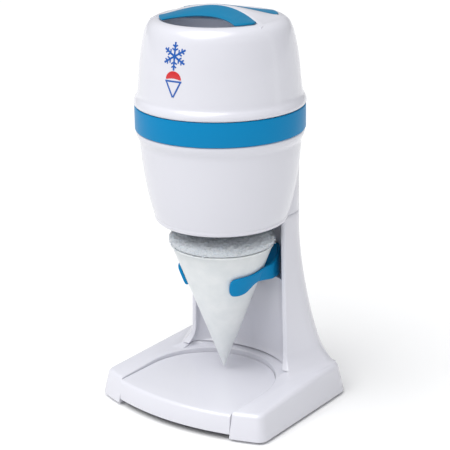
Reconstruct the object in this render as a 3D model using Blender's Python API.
"""Shaved ice machine: a lift-off motor head on a hopper barrel, carried by a flared stand over a cone cup.

Metres, +Z up, the front faces -Y. Every part hangs on one empty, the barrel's axis, whose place puts the
floor under the rubber feet at z = 0 and centres the whole object on the origin. The head's parts hang on a
second empty on the same axis, because the head stands turned a little to the machine's right.
"""

import math

import bmesh
import bpy
from mathutils import Matrix, Vector

mm = 0.001

# Driving dimensions
GAP = 0.3 * mm  # clearance between parts that touch
WALL = 2.4 * mm  # moulded shell thickness
STEPS = 32  # facets round a large turned part
SMALL_STEPS = 12  # facets round a pin, a screw or a bush

FOOT_HEIGHT = 2.0 * mm
AXIS_Y = 2.15 * mm  # the barrel's axis, from the middle of the footprint
HEAD_TURN = math.radians(10)  # the head's twist on the barrel

BASE_HALF_WIDTH = 84 * mm  # at the front corners, at the bottom edge
BASE_SIDE_TAPER = 0.021  # each side's lean inwards towards the rear
BASE_FRONT = -77.8 * mm  # the middle of the bowed front edge
BASE_FRONT_BOW = 17.5 * mm  # how far the front corners stand behind it
BASE_REAR = 65 * mm
BASE_TOP = 21.8 * mm  # at the front corners
BASE_TOP_RISE = 0.036  # the top's slope up towards the rear
BASE_DRAFT = 3.4 * mm

TRAY_HALF_WIDTH = 57.2 * mm
TRAY_CENTRE_Y = -24.6 * mm  # of the round rear end
TRAY_TOP = 20.3 * mm
PLATE_BOTTOM, PLATE_TOP = 0.8 * mm, 2.8 * mm
BASE_SCREWS = [(-69 * mm, -38 * mm), (69 * mm, -38 * mm), (-67 * mm, 36 * mm), (67 * mm, 36 * mm)]
FEET = [(-68 * mm, -49 * mm), (68 * mm, -49 * mm), (-64 * mm, 48 * mm), (64 * mm, 48 * mm)]

COLUMN_FRONT = 20 * mm
COLUMN_REAR = 58 * mm
COLUMN_HALF_WIDTH = 48 * mm
COLUMN_TOP = 158 * mm
COLUMN_RIM = 4 * mm  # width of the front rims beside the hollow
COLUMN_HOLLOW_Y = 37.5 * mm  # deepest line of the hollow front
FLARE_TOP, FLARE_BOTTOM = 142 * mm, 24 * mm
FLARE_POWER = 1.45
FLARE_SIDE, FLARE_REAR = 28.5 * mm, 4.6 * mm  # how far the rear corners spread down to the base
FOOT_FILLET = 19 * mm  # the front edges' sweep into the base
NICHE_HALF_WIDTH, NICHE_BACK = 41 * mm, 47 * mm
NICHE_FLOOR, NICHE_TOP = 99.5 * mm, 152.6 * mm

NECK_SCREW_X, NECK_SCREW_Y = 27 * mm, 52.3 * mm
COVER_HALF_WIDTH = 23 * mm
COVER_BOTTOM, COVER_TOP = 45 * mm, 146 * mm

BAND_RADIUS = 68 * mm
BAND_BOTTOM, BAND_TOP = 231.2 * mm, 250.7 * mm
BAND_WALL = 2.6 * mm

HEAD_TOP = 319 * mm
POCKET_FLOOR = 306 * mm
POCKET_RADIUS = 45.5 * mm
HANDLE_TOP = 328.4 * mm
HANDLE_END = 46 * mm
HANDLE_WAIST, HANDLE_SPREAD = 5.5 * mm, 17 * mm  # half width in the middle, and what the ends add
CREST_WAIST, CREST_SPREAD = 2 * mm, 19.8 * mm  # the same for the narrow crest between the grips
CREST_DEPTH = 3.2 * mm
GRIP_END, GRIP_CORNER = 41 * mm, 31 * mm
GRIP_REACH, GRIP_REACH_SPREAD = 19.5 * mm, 14.7 * mm  # the lip's distance, and what its corners add
GRIP_RIM = 46.5 * mm
LIP_LIFT, LIP_THICKNESS = 2.6 * mm, 1.2 * mm

CONE_TIP_Z, CONE_RIM_Z = 22.9 * mm, 134 * mm
CONE_RADIUS = 41.8 * mm
CONE_WALL = 0.9 * mm

MODULE = 1.5 * mm  # of every gear
PINION_TEETH, IDLER_TEETH, IDLER_PINION_TEETH, OUTPUT_TEETH = 10, 30, 12, 32
IDLER_PLACE = Vector((0, 33 * mm))
MOTOR_PLACE = Vector((-22 * mm, 33 * mm - math.sqrt(30**2 - 22**2) * mm))
SHAFT_RADIUS = 5 * mm
STANDOFF_RADIUS = 52.5 * mm
STANDOFF_ANGLES = (30, 150, 270)
DECK_BOTTOM, DECK_TOP = 274 * mm, 276.4 * mm
PLUNGER_PLACE = Vector((-30 * mm, -42 * mm))
BLADE_SCREWS = ((-12 * mm, 9 * mm), (-12 * mm, 31 * mm))
GLAND_Z = 266 * mm

WHITE = ("white_plastic", (0.86, 0.86, 0.90), 0.22, 0.0)
BLUE = ("blue_plastic", (0.01, 0.24, 0.52), 0.3, 0.0)
GREY = ("grey_plastic", (0.42, 0.43, 0.46), 0.45, 0.0)
CLEAR = ("hopper_plastic", (0.80, 0.84, 0.88), 0.2, 0.0)
STEEL = ("stainless_steel", (0.66, 0.67, 0.69), 0.28, 1.0)
ZINC = ("zinc_plated_steel", (0.58, 0.58, 0.60), 0.38, 1.0)
BRASS = ("sintered_bronze", (0.55, 0.38, 0.18), 0.5, 1.0)
COPPER = ("enamelled_copper", (0.62, 0.26, 0.10), 0.4, 1.0)
NYLON = ("white_nylon", (0.80, 0.79, 0.74), 0.5, 0.0)
RUBBER = ("black_rubber", (0.03, 0.03, 0.035), 0.8, 0.0)
PAPER = ("white_paper", (0.86, 0.88, 0.90), 0.7, 0.0)
ICE = ("shaved_ice", (0.88, 0.90, 0.93), 0.55, 0.0)


# The mains lead's bushing lies along +Y at the machine's rear, whatever the head's turn.
GLAND_TURN = (
    Matrix.Rotation(-HEAD_TURN, 4, "Z")
    @ Matrix.Translation((0, 0, GLAND_Z))
    @ Matrix.Rotation(math.radians(-90), 4, "X")
)


# Modelling tools


def material(spec):
    name, colour, roughness, metallic = spec
    found = bpy.data.materials.get(name)
    if found:
        return found
    made = bpy.data.materials.new(name)
    made.use_nodes = True
    shader = made.node_tree.nodes["Principled BSDF"]
    shader.inputs["Base Color"].default_value = (*colour, 1)
    shader.inputs["Roughness"].default_value = roughness
    shader.inputs["Metallic"].default_value = metallic
    return made


def finished(bm, name):
    """The bmesh as a smooth-shaded mesh with sharp edges kept."""
    bmesh.ops.remove_doubles(bm, verts=bm.verts, dist=1e-6)
    bmesh.ops.recalc_face_normals(bm, faces=bm.faces)
    mesh = bpy.data.meshes.new(name)
    bm.to_mesh(mesh)
    bm.free()
    mesh.shade_smooth()
    mesh.set_sharp_from_angle(angle=math.radians(32))
    return mesh


def turned(profile, steps=STEPS):
    """A closed (radius, z) outline spun about Z."""
    bm = bmesh.new()
    verts = [bm.verts.new((radius, 0, z)) for radius, z in profile]
    sides = zip(verts, verts[1:] + verts[:1])
    edges = [bm.edges.new((a, b)) for a, b in sides if max(a.co.x, b.co.x) > 0]
    bmesh.ops.spin(
        bm, geom=verts + edges, cent=(0, 0, 0), axis=(0, 0, 1), angle=math.tau, steps=steps, use_merge=True
    )
    return finished(bm, "turned")


def lofted(rings):
    """Rings of equally many points, skinned in order and capped at both ends."""
    bm = bmesh.new()
    rows = [[bm.verts.new(point) for point in ring] for ring in rings]
    for low, high in zip(rows, rows[1:]):
        for i in range(len(low)):
            j = (i + 1) % len(low)
            bm.faces.new((low[i], low[j], high[j], high[i]))
    bm.faces.new(rows[0])
    bm.faces.new(rows[-1])
    return finished(bm, "lofted")


def prism(outline, bottom, top):
    return lofted([[(x, y, bottom) for x, y in outline], [(x, y, top) for x, y in outline]])


def block(low, high):
    (x0, y0, z0), (x1, y1, z1) = low, high
    return prism([(x0, y0), (x1, y0), (x1, y1), (x0, y1)], z0, z1)


def circle(radius, centre=(0, 0), steps=SMALL_STEPS):
    x, y = centre
    angles = [math.tau * i / steps for i in range(steps)]
    return [(x + radius * math.cos(angle), y + radius * math.sin(angle)) for angle in angles]


def disc(radius, bottom, top, centre=(0, 0), steps=SMALL_STEPS):
    return prism(circle(radius, centre, steps), bottom, top)


def moved(mesh, matrix):
    mesh.transform(matrix)
    return mesh


def rounded(corners, steps=3):
    """A convex or concave outline from (x, y, radius) corners, each radius drawn as an arc."""
    outline = []
    for i, (x, y, radius) in enumerate(corners):
        here = Vector((x, y))
        if not radius:
            outline.append((x, y))
            continue
        before = (Vector(corners[i - 1][:2]) - here).normalized()
        after = (Vector(corners[(i + 1) % len(corners)][:2]) - here).normalized()
        half = before.angle(after) / 2
        centre = here + (before + after).normalized() * radius / math.sin(half)
        start = here + before * radius / math.tan(half) - centre
        end = here + after * radius / math.tan(half) - centre
        sweep = start.angle_signed(end)
        for step in range(steps + 1):
            point = centre + Matrix.Rotation(-sweep * step / steps, 2) @ start
            outline.append(tuple(point))
    return outline


def place(name, mesh, spec, parent, at=(0, 0, 0)):
    part = bpy.data.objects.new(name, mesh)
    mesh.materials.clear()
    mesh.materials.append(material(spec))
    part.parent = parent
    part.location = at
    bpy.context.collection.objects.link(part)
    return part


def shape(part, mesh, operation="DIFFERENCE", solver="EXACT"):
    """Cut a hidden tool out of a part, or unite the two."""
    tool = bpy.data.objects.new(f"{part.name}_tool", mesh)
    bpy.context.collection.objects.link(tool)
    tool.parent = part.parent
    tool.location = part.location
    tool.hide_render = True
    tool.display_type = "WIRE"
    step = part.modifiers.new(operation.title(), "BOOLEAN")
    step.operation = operation
    step.solver = solver
    step.object = tool
    return tool


def empty(name, parent=None):
    made = bpy.data.objects.new(name, None)
    made.parent = parent
    bpy.context.collection.objects.link(made)
    return made


# Outlines shared by several parts


def front_edge(x, behind=0.0):
    return BASE_FRONT + BASE_FRONT_BOW * (x / BASE_HALF_WIDTH) ** 2 + behind


def base_side(y, inset):
    corner_y = BASE_FRONT + BASE_FRONT_BOW
    return BASE_HALF_WIDTH - BASE_SIDE_TAPER * (y - corner_y) - inset


def base_outline(inset):
    """The base in plan: bowed front, tapering sides and rounded corners."""
    half = BASE_HALF_WIDTH - inset
    front = [-half, -half * 0.75, -half * 0.5, -half * 0.25, 0, half * 0.25, half * 0.5, half * 0.75, half]
    corners = [(x, front_edge(x, inset), 8 * mm if abs(x) == half else 0) for x in front]
    rear = BASE_REAR - inset
    side = base_side(rear, inset)
    return rounded(corners + [(side, rear, 10 * mm), (-side, rear, 10 * mm)])


def base_ring(inset, bottom=None, below_top=0.0):
    """One level of the base: flat at a height, or following the sloped top."""
    corner_y = BASE_FRONT + BASE_FRONT_BOW
    ring = []
    for x, y in base_outline(inset):
        sloped = BASE_TOP + BASE_TOP_RISE * (y - corner_y) - below_top
        ring.append((x, y, sloped if bottom is None else bottom))
    return ring


def horseshoe(grow, front=None):
    """The drip tray's outline: round at the rear, straight sides, open or bowed at the front."""
    half = TRAY_HALF_WIDTH + grow
    angles = [math.pi * i / 16 for i in range(17)]
    rear = [(half * math.cos(angle), TRAY_CENTRE_Y + half * math.sin(angle)) for angle in angles]
    if front is not None:
        return rear + [(-half, front), (half, front)]
    bow = [half * (i / 5 - 1) for i in range(11)]
    return rear + [(x, front_edge(x, 1.2 * mm)) for x in bow]


def flare(z):
    share = min(max((FLARE_TOP - z) / (FLARE_TOP - FLARE_BOTTOM), 0), 1)
    return share**FLARE_POWER


def sweep_in(z):
    """The front edges' quarter-round sweep into the base, from 0 at its top to its radius at the base."""
    down = min(max(FLARE_BOTTOM + FOOT_FILLET - z, 0), FOOT_FILLET)
    return FOOT_FILLET - math.sqrt(FOOT_FILLET**2 - down**2)


def column_rear(z):
    return COLUMN_REAR + FLARE_REAR * flare(z)


def column_outline(z):
    """The column in plan at one height: hollow front between two rims, flared rear corners."""
    sweep = sweep_in(z)
    front = COLUMN_FRONT - 0.75 * sweep
    half = COLUMN_HALF_WIDTH + 2 * mm * flare(z) + 0.65 * sweep
    rear_half = max(COLUMN_HALF_WIDTH + FLARE_SIDE * flare(z), half)
    rear = column_rear(z)
    hollow_half = half - COLUMN_RIM - 0.3 * sweep
    hollow = []
    for i in range(9):
        x = hollow_half * (1 - i / 4)
        depth = (COLUMN_HOLLOW_Y - front) * math.sqrt(1 - (x / hollow_half) ** 2 * 0.96)
        hollow.append((x, front + depth, 0))
    hollow[0] = (hollow_half, front, 1 * mm)
    hollow[-1] = (-hollow_half, front, 1 * mm)
    corner = 25 * mm - 15 * mm * flare(z)
    left = [(-half, front, 1.5 * mm), (-rear_half, rear, corner)]
    right = [(rear_half, rear, corner), (half, front, 1.5 * mm)]
    return rounded(hollow + left + right, steps=2)


def cone_radius(z):
    return CONE_RADIUS * (z - CONE_TIP_Z) / (CONE_RIM_Z - CONE_TIP_Z)


def gear_outline(teeth, phase):
    """Straight-sided teeth that run with play on their mates; phase is the angle of one tooth."""
    pitch = MODULE * teeth / 2
    pitch_angle = math.tau / teeth
    tip, root = pitch + 0.72 * MODULE, pitch - 0.95 * MODULE
    outline = []
    for tooth in range(teeth):
        middle = phase + tooth * pitch_angle
        for radius, half_width in ((root, 0.27), (tip, 0.11)):
            outline.append((radius, middle - half_width * pitch_angle))
        for radius, half_width in ((tip, 0.11), (root, 0.27)):
            outline.append((radius, middle + half_width * pitch_angle))
    return [(radius * math.cos(angle), radius * math.sin(angle)) for radius, angle in outline]


# Stand


def make_stand(axis):
    rings = [
        base_ring(0.8 * mm, bottom=0.0),
        base_ring(0.0, bottom=1.5 * mm),
        base_ring(BASE_DRAFT, below_top=4.5 * mm),
        base_ring(BASE_DRAFT + 1.4 * mm, below_top=1.4 * mm),
        base_ring(BASE_DRAFT + 4.6 * mm),
    ]
    stand = place("stand", lofted(rings), WHITE, axis)
    heights = [12, 24, 28, 34, 43, 56, 74, 96, 118, 142, COLUMN_TOP / mm]
    column = [[(x, y, z * mm) for x, y in column_outline(z * mm)] for z in heights]
    shape(stand, lofted(column), "UNION")
    shape(stand, prism(horseshoe(0, front=-90 * mm), -1 * mm, 60 * mm))
    shape(
        stand,
        block((-NICHE_HALF_WIDTH, 0, NICHE_FLOOR), (NICHE_HALF_WIDTH, NICHE_BACK, NICHE_TOP)),
    )
    plate_inset = BASE_DRAFT + WALL + 1.5 * mm
    shape(stand, prism(base_outline(plate_inset), -1 * mm, PLATE_TOP + GAP))
    deep = prism(base_outline(plate_inset + 0.6 * mm), 1 * mm, BASE_TOP - WALL - 1 * mm)
    hollow = shape(stand, deep, solver="MANIFOLD")
    shape(hollow, prism(horseshoe(WALL, front=-95 * mm), -2 * mm, 60 * mm))
    for x, y in BASE_SCREWS:
        shape(hollow, disc(4 * mm, 0, 30 * mm, (x, y)))
        shape(stand, disc(1.8 * mm, -1 * mm, 13 * mm, (x, y), 10))
    inside = []
    for z in (14 * mm, 40 * mm, 66 * mm, 96 * mm, 130 * mm, 152 * mm):
        half = COLUMN_HALF_WIDTH + FLARE_SIDE * flare(z) - 12 * mm
        narrow = half - 8 * mm
        front, rear = NICHE_BACK + WALL, column_rear(z) - WALL
        inside.append([(-half, front, z), (half, front, z), (narrow, rear, z), (-narrow, rear, z)])
    shape(stand, lofted(inside))
    seat = [(0, 153.8), (49.7, 153.8), (53.4, 155.6), (55.6, 162.0), (0, 162.0)]
    shape(stand, turned([(r * mm, z * mm) for r, z in seat]))
    shape(stand, block((-COVER_HALF_WIDTH, 53 * mm, COVER_BOTTOM), (COVER_HALF_WIDTH, 80 * mm, COVER_TOP)))
    for x in (-NECK_SCREW_X, NECK_SCREW_X):
        shape(stand, disc(1.8 * mm, 149 * mm, 170 * mm, (x, NECK_SCREW_Y), 8))


def make_column_cover(axis):
    """A panel that closes the window in the column's back."""
    half = COVER_HALF_WIDTH - GAP
    rings = []
    low, high = COVER_BOTTOM + GAP, COVER_TOP - GAP
    for step in range(6):
        z = low + (high - low) * step / 5
        outer = column_rear(z) - 0.4 * mm
        inner = outer - WALL + 0.5 * mm
        rings.append([(-half, inner, z), (half, inner, z), (half, outer, z), (-half, outer, z)])
    place("column_back_cover", lofted(rings), WHITE, axis)


def make_screw(name, axis, x, y, under, length, up=1, head=3.0 * mm):
    """A pan-head screw whose head bears at the height under; its shank runs up or down."""
    profile = [
        (0, under - up * 1.4 * mm),
        (head * 0.7, under - up * 1.4 * mm),
        (head, under - up * 0.7 * mm),
        (head, under),
        (1.4 * mm, under),
        (1.4 * mm, under + up * length),
        (0, under + up * length),
    ]
    place(name, moved(turned(profile, 8), Matrix.Translation((x, y, 0))), ZINC, axis)


def make_base_plate(axis):
    outline = [(x, y) for x, y in base_outline(BASE_DRAFT + WALL + 1.5 * mm + GAP)]
    plate = place("base_plate", prism(outline, PLATE_BOTTOM, PLATE_TOP), GREY, axis)
    for x, y in FEET:
        shape(plate, disc(2.3 * mm, -1 * mm, 5 * mm, (x, y), 10))
    for x, y in BASE_SCREWS:
        shape(plate, disc(1.8 * mm, -1 * mm, 5 * mm, (x, y), 10))


def make_feet(axis):
    for i, (x, y) in enumerate(FEET):
        profile = [
            (0, -FOOT_HEIGHT),
            (6.4 * mm, -FOOT_HEIGHT),
            (7 * mm, -FOOT_HEIGHT + 0.7 * mm),
            (7 * mm, PLATE_BOTTOM - GAP),
            (2 * mm, PLATE_BOTTOM - GAP),
            (2 * mm, 5.5 * mm),
            (0, 5.5 * mm),
        ]
        place(f"foot_{i + 1}", moved(turned(profile, 16), Matrix.Translation((x, y, 0))), RUBBER, axis)


def make_drip_tray(axis):
    bottom = PLATE_TOP + 0.5 * mm
    levels = (
        (0.8, bottom),
        (0.0, bottom + 1 * mm),
        (0.3, TRAY_TOP - 3.5 * mm),
        (1.2, TRAY_TOP - 1 * mm),
        (4.0, TRAY_TOP),
    )
    rings = []
    for inset, z in levels:
        ring = []
        for x, y in horseshoe(-2 * GAP):
            ahead = max(0.0, (TRAY_CENTRE_Y - y) / (TRAY_CENTRE_Y - BASE_FRONT))
            ring.append((x, y + inset * mm * ahead, z))
        rings.append(ring)
    tray = place("drip_tray", lofted(rings), WHITE, axis)
    under = [(x * 0.955, y * 0.955 - 1.2 * mm) for x, y in horseshoe(-2 * GAP)]
    shape(tray, prism(under, -1 * mm, TRAY_TOP - WALL))


# Cup holder, cup and ice


def make_cone_holder(axis):
    """One strip: a paddle each side on the cone, arms round it, and a plate in the column's niche."""
    plate_y = NICHE_BACK - GAP - 1.25 * mm
    thick = 2.5 * mm
    on_cone = [
        (50, 100.5, 109.0),
        (53, 98.0, 112.2),
        (62, 96.6, 113.4),
        (75, 96.6, 113.6),
        (85, 100.5, 114.2),
        (97, 104.5, 115.6),
    ]
    right = []
    for degrees, low, high in on_cone:
        angle = math.radians(degrees)
        ring = []
        for z, off in ((low, 0.5 * mm), (high, 0.5 * mm), (high, 0.5 * mm + thick), (low, 0.5 * mm + thick)):
            radius = cone_radius(z * mm) + off
            ring.append((radius * math.sin(angle), -radius * math.cos(angle), z * mm))
        right.append(ring)
    path = [(37.2, 17.0, 104.5, 117.5, 4), (31.5, 34.0, 103.0, 121.0, 28)]
    path += [(22.5, plate_y / mm, 101.5, 124.0, 75)]
    for x, y, low, high, lean in path:
        away = Vector((math.cos(math.radians(lean)), math.sin(math.radians(lean)))) * thick / 2
        ring = []
        for z, side in ((low, -1), (high, -1), (high, 1), (low, 1)):
            ring.append((x * mm + side * away.x, y * mm + side * away.y, z * mm))
        right.append(ring)
    half = thick / 2
    middle_x = 17 * mm
    ends = ((101 * mm, -half), (124 * mm, -half), (124 * mm, half), (101 * mm, half))
    right.append([(middle_x, plate_y + side, z) for z, side in ends])
    left = [[(-x, y, z) for x, y, z in ring] for ring in reversed(right)]
    place("cone_holder", lofted(right + left), BLUE, axis)


def make_cone_cup(axis):
    slope = CONE_RADIUS / (CONE_RIM_Z - CONE_TIP_Z)
    wall = CONE_WALL * math.hypot(1, slope)
    profile = [
        (0, CONE_TIP_Z),
        (1.2 * mm, CONE_TIP_Z + 0.8 * mm),
        (cone_radius(CONE_RIM_Z - 2 * mm), CONE_RIM_Z - 2 * mm),
        (CONE_RADIUS + 0.7 * mm, CONE_RIM_Z - 1.2 * mm),
        (CONE_RADIUS + 0.7 * mm, CONE_RIM_Z),
        (CONE_RADIUS - wall, CONE_RIM_Z),
        (0, CONE_TIP_Z + 3.4 * mm),
    ]
    place("cone_cup", turned(profile), PAPER, axis)


def make_ice(axis):
    inside = cone_radius(CONE_RIM_Z) - CONE_WALL * 1.1 - 0.5 * mm
    profile = [
        (0, CONE_TIP_Z + 5.5 * mm),
        (inside, CONE_RIM_Z),
        (inside, CONE_RIM_Z + GAP),
        (CONE_RADIUS + 0.4 * mm, CONE_RIM_Z + GAP),
        (43.8 * mm, 136.6 * mm),
        (43.8 * mm, 139.5 * mm),
        (41 * mm, 143 * mm),
        (35 * mm, 146 * mm),
        (24 * mm, 148.5 * mm),
        (0, 150.2 * mm),
    ]
    place("shaved_ice", turned(profile), ICE, axis)


# Barrel with the hopper and the blade


def make_housing(axis):
    """The lower barrel and its neck, one moulding that stands on the column."""
    outer = [
        (64.9, 250.7),
        (64.9, 230.9),
        (67.1, 230.9),
        (67.1, 227.0),
        (64.8, 222.4),
        (63.9, 214.0),
        (62.0, 197.0),
        (59.0, 178.5),
        (54.9, 162.0),
        (53.0, 157.0),
        (49.2, 154.3),
    ]
    profile = [(0, 250.7)] + outer + [(0, 154.3)]
    housing = place("hopper_housing", turned([(r * mm, z * mm) for r, z in profile]), WHITE, axis)
    neck_bottom = COLUMN_TOP + GAP
    shape(housing, prism(column_outline(COLUMN_TOP), neck_bottom, 222 * mm), "UNION")
    inner = [(0, 262), (62.5, 262), (62.5, 232), (61.4, 214), (59.4, 197), (56.3, 178.5), (51.2, 159.5)]
    inner += [(46.5, 157), (46.5, 150), (0, 150)]
    shape(housing, turned([(r * mm, z * mm) for r, z in inner]))
    for x in (-NECK_SCREW_X, NECK_SCREW_X):
        shape(housing, disc(1.8 * mm, 150 * mm, 172 * mm, (x, NECK_SCREW_Y), 8))


def make_band(axis):
    inner = BAND_RADIUS - BAND_WALL
    soft = 0.6 * mm
    profile = [
        (inner, BAND_TOP),
        (BAND_RADIUS - soft, BAND_TOP),
        (BAND_RADIUS, BAND_TOP - soft),
        (BAND_RADIUS, BAND_BOTTOM + soft),
        (BAND_RADIUS - soft, BAND_BOTTOM),
        (inner, BAND_BOTTOM),
    ]
    place("barrel_band", turned(profile), BLUE, axis)


def make_hopper(axis):
    profile = [
        (62.2, 249.6),
        (62.2, 247.2),
        (60.8, 246.6),
        (58.4, 218),
        (51.6, 183),
        (48.0, 171.5),
        (40.0, 171.5),
        (40.0, 173.2),
        (46.8, 173.2),
        (49.9, 183.4),
        (56.7, 218.4),
        (59.6, 249.6),
    ]
    hopper = place("ice_hopper", turned([(r * mm, z * mm) for r, z in profile]), CLEAR, axis)
    spot = Matrix.Rotation(HEAD_TURN, 2) @ PLUNGER_PLACE
    outwards = math.atan2(spot.y, spot.x)
    tab = block((-5 * mm, -4 * mm, 242.5 * mm), (7.5 * mm, 4 * mm, 245 * mm))
    turn = Matrix.Translation((spot.x, spot.y, 0)) @ Matrix.Rotation(outwards, 4, "Z")
    shape(hopper, moved(tab, turn), "UNION")


def make_blade(axis):
    plate = place("blade_plate", disc(46.4 * mm, 173.5 * mm, 175.5 * mm, steps=STEPS), STEEL, axis)
    shape(plate, block((-2.6 * mm, 3 * mm, 170 * mm), (2.6 * mm, 38 * mm, 180 * mm)))
    edge = block((-17 * mm, 4 * mm, 175.8 * mm), (-1.2 * mm, 36.5 * mm, 177 * mm))
    blade = place("shaving_blade", edge, STEEL, axis)
    for number, (x, y) in enumerate(BLADE_SCREWS):
        for part in (plate, blade):
            shape(part, disc(1.7 * mm, 170 * mm, 180 * mm, (x, y), 10))
        make_screw(f"blade_screw_{number + 1}", axis, x, y, 177.3 * mm, 5 * mm, up=-1, head=2.6 * mm)


def make_chute(axis):
    profile = [(44.5, 171.2), (41.0, 157.2), (39.2, 157.2), (42.7, 169.5), (39.5, 169.5), (39.5, 171.2)]
    place("snow_chute", turned([(r * mm, z * mm) for r, z in profile]), CLEAR, axis)


# Motor head


def handle_stations(end):
    """Places along the handle, from one end to the other, that the crest and the grips share."""
    right = [x * mm for x in (5.5, 11, 16.5, 22, 27, 31, 35, 38.5, 41)]
    right += [end] if end > right[-1] else []
    return [-x for x in reversed(right)] + [0] + right


def handle_half(x):
    return HANDLE_WAIST + HANDLE_SPREAD * (x / HANDLE_END) ** 2


def crest_half(x):
    return CREST_WAIST + CREST_SPREAD * (x / HANDLE_END) ** 2


def handle_top(x):
    return HANDLE_TOP - (HANDLE_TOP - HEAD_TOP) * (x / HANDLE_END) ** 2


def grip_lip(x):
    """The grip's outer edge in plan: an arch over the finger pocket, then the lid's rim."""
    x = min(abs(x), GRIP_END)
    return min(GRIP_REACH + GRIP_REACH_SPREAD * (x / GRIP_CORNER) ** 2, math.sqrt(GRIP_RIM**2 - x**2))


def lip_under(x):
    return HEAD_TOP + GAP + LIP_LIFT * max(0, 1 - (x / GRIP_CORNER) ** 2)


def handle_surface(x, y):
    """The height of the handle and its grips, which fall away from the middle to the grips' lips."""
    fall = handle_top(x) - min(lip_under(x) + LIP_THICKNESS, handle_top(x))
    return handle_top(x) - fall * (y / grip_lip(x)) ** 1.2


def handle_shoulder(x):
    """The height where the handle's broad web steps in to its crest."""
    return max(handle_surface(x, crest_half(x)) - CREST_DEPTH, HEAD_TOP - 2.5 * mm)


def pocket_outline(side, grow=0.0):
    """A finger pocket in plan: between the handle's flank and the lid's shoulder."""
    flank_x = [36 * mm * (1 - i / 4) for i in range(9)]
    reach = POCKET_RADIUS + grow
    flank = [(x * (1 + grow / (40 * mm)), handle_half(x) + 1.5 * mm - grow) for x in flank_x]
    start = math.atan2(flank[-1][1], flank[-1][0])
    end = math.atan2(flank[0][1], flank[0][0])
    arc = []
    for i in range(1, 12):
        angle = start + (end - start) * i / 12
        arc.append((reach * math.cos(angle), reach * math.sin(angle)))
    return [(x, side * y) for x, y in flank + arc]


def make_head_shell(head):
    outer = [
        (66.6, 251.2),
        (68.2, 252.6),
        (67.8, 255.2),
        (65.4, 258.6),
        (64.2, 269.0),
        (62.2, 288.0),
        (59.3, 304.0),
        (57.3, 311.8),
        (53.6, 316.9),
        (48.0, 319.0),
    ]
    body = [(0, 251.2)] + outer + [(0, 319.0)]
    shell = place("head_shell", turned([(r * mm, z * mm) for r, z in body]), WHITE, head)
    rings = []
    for x in handle_stations(HANDLE_END):
        half, crest, shoulder = handle_half(x), crest_half(x), handle_shoulder(x)
        right = [(half, HEAD_TOP - 3 * mm), (half, shoulder), (crest, shoulder + 0.1 * mm)]
        right += [(y, handle_surface(x, y)) for y in (crest, 0.4 * crest)]
        left = [(-y, z) for y, z in reversed(right)]
        rings.append([(x, y, z) for y, z in right + left])
    shape(shell, lofted(rings), "UNION")
    for side in (-1, 1):
        shape(shell, prism(pocket_outline(side), POCKET_FLOOR, 340 * mm))
    inner = [(0, 245), (64.2, 245), (64.2, 255), (62.6, 258.6), (61.7, 269)]
    inner += [(59.6, 288), (56.6, 304), (54, 311.5), (47.5, 316.2), (0, 316.2)]
    inside = shape(shell, turned([(r * mm, z * mm) for r, z in inner]))
    for side in (-1, 1):
        shape(inside, prism(pocket_outline(side, WALL), POCKET_FLOOR - WALL, 340 * mm))
    shape(shell, moved(disc(4.8 * mm, 50 * mm, 80 * mm), GLAND_TURN))


def make_grips(head):
    """Soft blue grips along the handle's crest, arching over the finger pockets."""
    for name, side in (("front_grip", -1), ("rear_grip", 1)):
        rings = []
        for x in handle_stations(GRIP_END):
            inner, lip, tip = crest_half(x) + 1.5 * GAP, grip_lip(x), lip_under(x)
            seat = max(handle_shoulder(x) + 0.5 * mm, HEAD_TOP + GAP)
            middle = inner + 0.5 * (lip - inner)
            ring = [
                (inner, seat),
                (inner, handle_surface(x, inner)),
                (middle, handle_surface(x, middle) + 0.2 * mm),
                (lip, handle_surface(x, lip)),
                (lip - 0.3 * mm, tip),
                (handle_half(x) + 0.5 * mm, seat),
            ]
            rings.append([(x, side * y, z) for y, z in ring])
        place(name, lofted(rings), BLUE, head)


def standoffs():
    for degrees in STANDOFF_ANGLES:
        angle = math.radians(degrees)
        yield STANDOFF_RADIUS * math.cos(angle), STANDOFF_RADIUS * math.sin(angle)


def make_head_base(head):
    """The head's floor, with the skirt that finds the hopper's mouth and the gear deck's standoffs."""
    profile = [(8.3, 252.5), (57.0, 252.5), (57.0, 247.5), (58.8, 247.5), (58.8, 252.5), (62.2, 252.5)]
    profile += [(62.2, 255.5), (8.3, 255.5)]
    floor = place("head_base", turned([(r * mm, z * mm) for r, z in profile]), GREY, head)
    for x, y in standoffs():
        shape(floor, disc(3.4 * mm, 254 * mm, DECK_BOTTOM - GAP, (x, y), 12), "UNION")
        shape(floor, disc(1.7 * mm, 250 * mm, 266 * mm, (x, y), 10))
    shape(floor, disc(2.6 * mm, 250 * mm, 260 * mm, PLUNGER_PLACE, 12))
    for number, (x, y) in enumerate(standoffs()):
        make_screw(f"head_screw_{number + 1}", head, x, y, 252.2 * mm, 12 * mm)


def make_gear_deck(head):
    deck = place("gear_deck", disc(56.5 * mm, DECK_BOTTOM, DECK_TOP, steps=32), ZINC, head)
    shape(deck, disc(4.2 * mm, 270 * mm, 280 * mm, MOTOR_PLACE))
    shape(deck, disc(2.9 * mm, 270 * mm, 280 * mm, IDLER_PLACE, 12))
    shape(deck, disc(SHAFT_RADIUS + GAP, 270 * mm, 280 * mm, steps=20))


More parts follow.
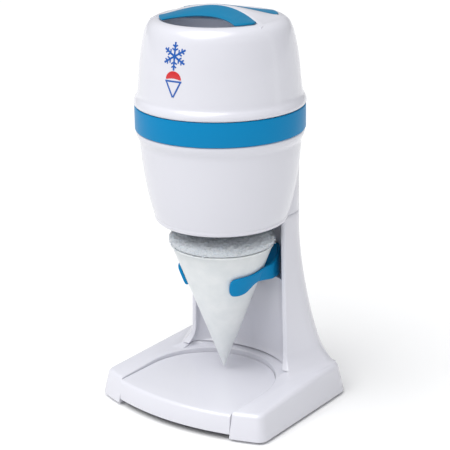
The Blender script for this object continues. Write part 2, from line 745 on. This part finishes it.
def make_drive(head):
    """Motor pinion, double idler and output gear: two reductions down to the ice paddle."""
    to_output = math.atan2(-IDLER_PLACE.y, -IDLER_PLACE.x)
    between = MOTOR_PLACE - IDLER_PLACE
    to_motor = math.atan2(between.y, between.x)

    output_phase = to_output + math.pi + math.pi / OUTPUT_TEETH
    gear = prism(gear_outline(OUTPUT_TEETH, output_phase), 257.8 * mm, 264 * mm)
    output = place("output_gear", gear, NYLON, head)
    shape(output, disc(SHAFT_RADIUS + GAP, 250 * mm, 270 * mm, steps=20))

    shaft = [(0, 187.5), (3.8, 187.5), (3.8, 190.5), (5, 190.5), (5, 276), (4.4, 276.6), (0, 276.6)]
    place("drive_shaft", turned([(r * mm, z * mm) for r, z in shaft], 20), STEEL, head)

    at = (*IDLER_PLACE, 0)
    large = prism(gear_outline(IDLER_TEETH, to_motor), 267 * mm, 272 * mm)
    idler = place("idler_gear", large, NYLON, head, at)
    small = prism(gear_outline(IDLER_PINION_TEETH, to_output), 257.4 * mm, 268 * mm)
    shape(idler, small, "UNION")
    shape(idler, disc(2.5 * mm + GAP, 250 * mm, 280 * mm, steps=12))
    pin = disc(2.5 * mm, 255.8 * mm, 276.4 * mm, IDLER_PLACE, 12)
    place("idler_pin", pin, STEEL, head)

    pinion_phase = to_motor + math.pi + math.pi / PINION_TEETH
    rotor_profile = [(0, 265.4), (2, 265.4), (2, 281), (13, 281), (13, 296), (2, 296), (2, 302), (0, 302)]
    at = (*MOTOR_PLACE, 0)
    rotor = place("motor_rotor", turned([(r * mm, z * mm) for r, z in rotor_profile], 20), STEEL, head, at)
    shape(rotor, prism(gear_outline(PINION_TEETH, pinion_phase), 266.4 * mm, 273 * mm), "UNION")


def make_motor(head):
    can = [(3.4, 277), (22, 277), (22, 299.4), (20.8, 300.4), (2.8, 300.4), (2.8, 298.4), (18.5, 298.4)]
    can += [(18.5, 279), (3.4, 279)]
    at = (*MOTOR_PLACE, 0)
    place("motor_can", turned([(r * mm, z * mm) for r, z in can], 28), ZINC, head, at)
    stator = [(13.8, 283), (18.1, 283), (18.1, 294), (13.8, 294)]
    place("motor_stator", turned([(r * mm, z * mm) for r, z in stator], 28), COPPER, head, at)


def make_bush(head):
    bush = [(5.3, 251.4), (8.0, 251.4), (8.0, 255.8), (11, 255.8), (11, 257.4), (5.3, 257.4)]
    place("shaft_bush", turned([(r * mm, z * mm) for r, z in bush], 20), BRASS, head)


def make_paddle(head):
    """The ice paddle: a hub on the shaft's end and three blades that push ice round over the blade."""
    hub = [(0, 178.6), (9, 178.6), (10, 180), (10, 187), (7, 196), (5.3, 196), (5.3, 190.2), (4.1, 190.2)]
    hub += [(4.1, 187.2), (0, 187.2)]
    paddle = place("ice_paddle", turned([(r * mm, z * mm) for r, z in hub], 20), NYLON, head)
    for i in range(3):
        side = [(8, 179), (41, 179), (41, 189), (30, 203), (22, 203), (8, 186)]
        vane = prism([(r * mm, z * mm) for r, z in side], -1.8 * mm, 1.8 * mm)
        upright = Matrix.Rotation(i * math.tau / 3 + 0.3, 4, "Z") @ Matrix.Rotation(math.radians(90), 4, "X")
        shape(paddle, moved(vane, upright), "UNION")


def spring_mesh(radius, wire, bottom, top, turns, centre):
    """A coil spring's wire as a swept tube."""
    sides, steps = 4, int(turns * 8)
    rings = []
    for i in range(steps + 1):
        angle = math.tau * turns * i / steps
        out = Vector((math.cos(angle), math.sin(angle), 0))
        middle = Vector((*centre, bottom + (top - bottom) * i / steps)) + out * radius
        ring = []
        for side in range(sides):
            turn = math.tau * side / sides
            ring.append(middle + (out * math.cos(turn) + Vector((0, 0, math.sin(turn)))) * wire)
        rings.append(ring)
    return lofted(rings)


def make_interlock(head):
    """The plunger that starts the motor: the hopper's tab lifts it into the switch as the head is pressed."""
    profile = [(0, 245.5), (1.6, 245.5), (2.2, 246.2), (2.2, 256), (4, 256), (4, 257.3)]
    profile += [(1.5, 257.3), (1.5, 263), (0, 263)]
    at = (*PLUNGER_PLACE, 0)
    place("start_plunger", turned([(r * mm, z * mm) for r, z in profile], 12), NYLON, head, at)
    coil = spring_mesh(2.7 * mm, 0.45 * mm, 258.1 * mm, 262.6 * mm, 3, (0, 0))
    place("plunger_spring", coil, STEEL, head, at)
    x, y = PLUNGER_PLACE
    low = (x - 7 * mm, y - 3.5 * mm, 266.4 * mm)
    high = (x + 7 * mm, y + 3.5 * mm, DECK_BOTTOM - GAP)
    place("start_switch", block(low, high), RUBBER, head)


def make_gland(head):
    """A bushing in the head's rear wall, where the mains lead comes in."""
    profile = [
        (3.2, 57.5),
        (6.2, 57.5),
        (6.2, 60.6),
        (4.5, 60.6),
        (4.5, 66.2),
        (6.4, 66.2),
        (5.2, 72.5),
        (3.2, 72.5),
    ]
    place("cord_gland", moved(turned([(r * mm, z * mm) for r, z in profile], 16), GLAND_TURN), RUBBER, head)


def main():
    for thing in list(bpy.data.objects):
        bpy.data.objects.remove(thing, do_unlink=True)
    axis = empty("barrel_axis")
    axis.location = (0, AXIS_Y, FOOT_HEIGHT)
    head = empty("head_axis", axis)
    head.rotation_euler = (0, 0, HEAD_TURN)

    make_stand(axis)
    make_column_cover(axis)
    make_base_plate(axis)
    make_feet(axis)
    for number, (x, y) in enumerate(BASE_SCREWS):
        make_screw(f"base_screw_{number + 1}", axis, x, y, PLATE_BOTTOM - GAP, 11 * mm)
    make_drip_tray(axis)

    make_cone_holder(axis)
    make_cone_cup(axis)
    make_ice(axis)

    make_housing(axis)
    for name, x in (("neck_screw_left", -NECK_SCREW_X), ("neck_screw_right", NECK_SCREW_X)):
        make_screw(name, axis, x, NECK_SCREW_Y, 151.7 * mm, 16 * mm, head=2.5 * mm)
    make_band(axis)
    make_hopper(axis)
    make_blade(axis)
    make_chute(axis)

    make_head_shell(head)
    make_grips(head)
    make_head_base(head)
    make_gear_deck(head)
    make_drive(head)
    make_motor(head)
    make_bush(head)
    make_paddle(head)
    make_interlock(head)
    make_gland(head)


main()
